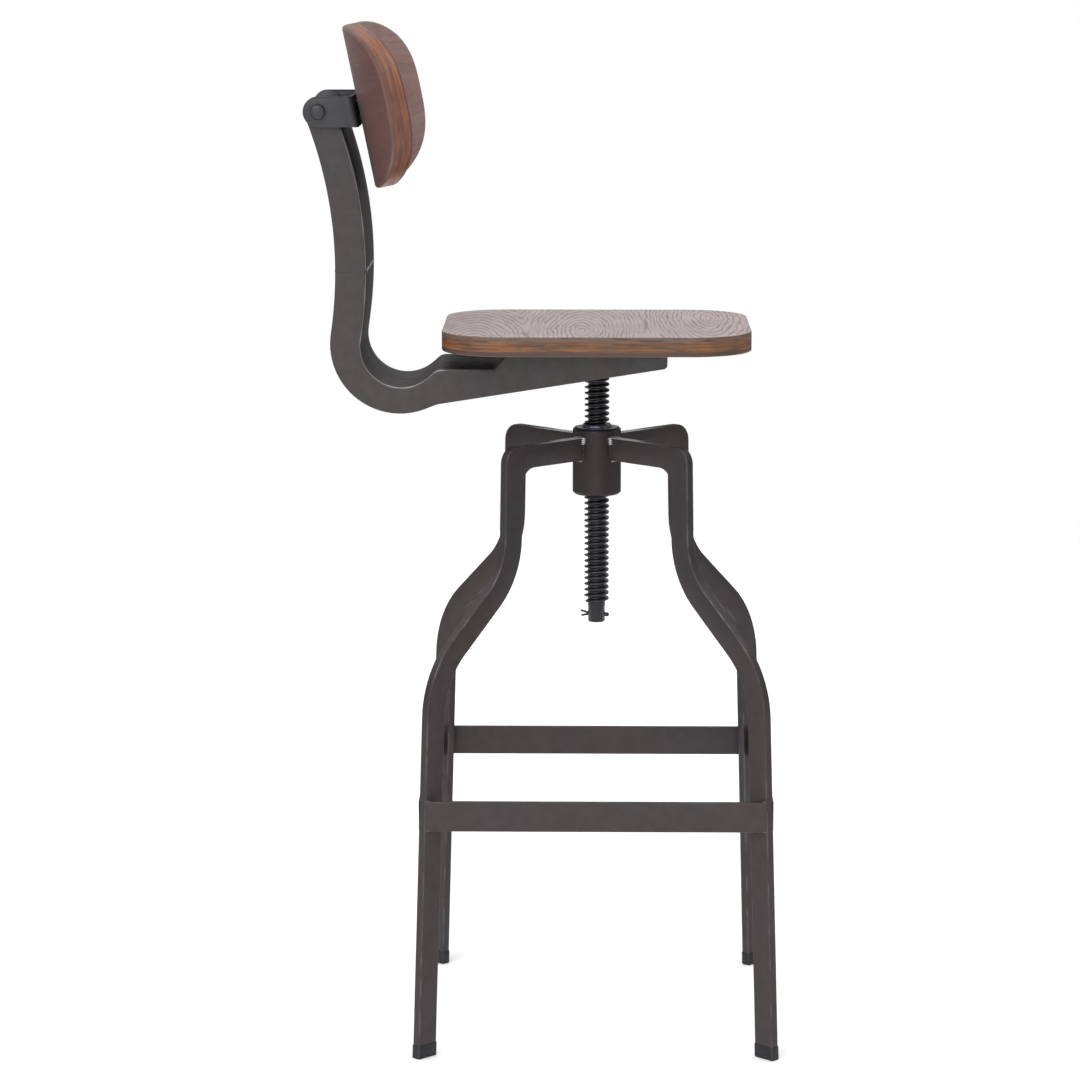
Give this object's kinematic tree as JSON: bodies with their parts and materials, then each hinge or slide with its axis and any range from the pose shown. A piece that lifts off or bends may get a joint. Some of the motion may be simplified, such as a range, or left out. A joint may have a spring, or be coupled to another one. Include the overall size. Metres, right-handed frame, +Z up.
{
  "type": "bar stool",
  "caption": "Bar stool with a rounded wooden seat on a height screw, a four-legged steel base with foot rails, and a tilting curved plywood backrest on a bent channel.",
  "frame": {"origin": "on the floor, under the middle of the bounding box", "axes": "+X to the front of the stool, +Y to its left-hand side, +Z up along the screw"},
  "size_m": [0.5007, 0.3864, 1.0786],
  "materials": {
    "gunmetal_steel": "satin dark gunmetal lacquer with a faint brown tint",
    "dark_steel": "satin dark lacquer",
    "black_steel": "black, semi-gloss",
    "bright_steel": "bare, ground or bright drawn",
    "blue_grey_steel": "satin blue grey",
    "black_rubber": "matte fibre-filled",
    "grey_plastic": "matte dark grey",
    "seat_wood": "greyish brown stain under satin lacquer, orange-brown edge",
    "panel_wood": "reddish brown stain under satin lacquer, orange ply edge"
  },
  "bodies": {
    "base": {"leg_front_left": "gunmetal_steel", "leg_rear_left": "gunmetal_steel", "leg_rear_right": "gunmetal_steel", "leg_front_right": "gunmetal_steel", "foot_plug_front_left": "grey_plastic", "foot_plug_rear_left": "grey_plastic", "foot_plug_rear_right": "grey_plastic", "foot_plug_front_right": "grey_plastic", "foot_rail_front": "gunmetal_steel", "foot_rail_left": "gunmetal_steel", "foot_rail_rear": "gunmetal_steel", "foot_rail_right": "gunmetal_steel", "hub_sleeve": "dark_steel", "threaded_insert": "black_steel", "hub_welds": "dark_steel", "rail_welds": "dark_steel"},
    "swivel_ring": {"wear_ring": "blue_grey_steel"},
    "seat_unit": {"height_screw": "black_steel", "split_pin": "black_steel", "screw_flange": "dark_steel", "flange_weld": "dark_steel", "lower_channel": "gunmetal_steel", "upper_channel": "gunmetal_steel", "seam_weld": "bright_steel", "seat_board": "seat_wood", "seat_bolts": "black_steel", "seat_washers": "bright_steel", "seat_inserts": "bright_steel", "pivot_bolt": "black_steel", "pivot_nut": "black_steel", "pivot_spacer": "bright_steel", "friction_washers": "black_rubber"},
    "backrest": {"backrest_bracket": "dark_steel", "backrest_panel": "panel_wood", "backrest_screws": "black_steel"}
  },
  "joints": [
    {"name": "swivel", "type": "hinge", "parent": "base", "child": "swivel_ring", "pos_m": [0.05714, 0, 0.647], "axis": [0, 0, 1], "range_deg": [-2700, 6840]},
    {"name": "height", "type": "slide", "parent": "swivel_ring", "child": "seat_unit", "axis": [0, 0, 1], "range_m": [-0.0473, 0.1197]},
    {"name": "backrest_tilt", "type": "hinge", "parent": "seat_unit", "child": "backrest", "pos_m": [-0.23436, 0, 0.988], "axis": [0, 1, 0], "range_deg": [-20, 6]}
  ],
  "couplings": [
    {"joint": "height", "follows": "swivel", "m_per_rad": 0.0010027}
  ]
}
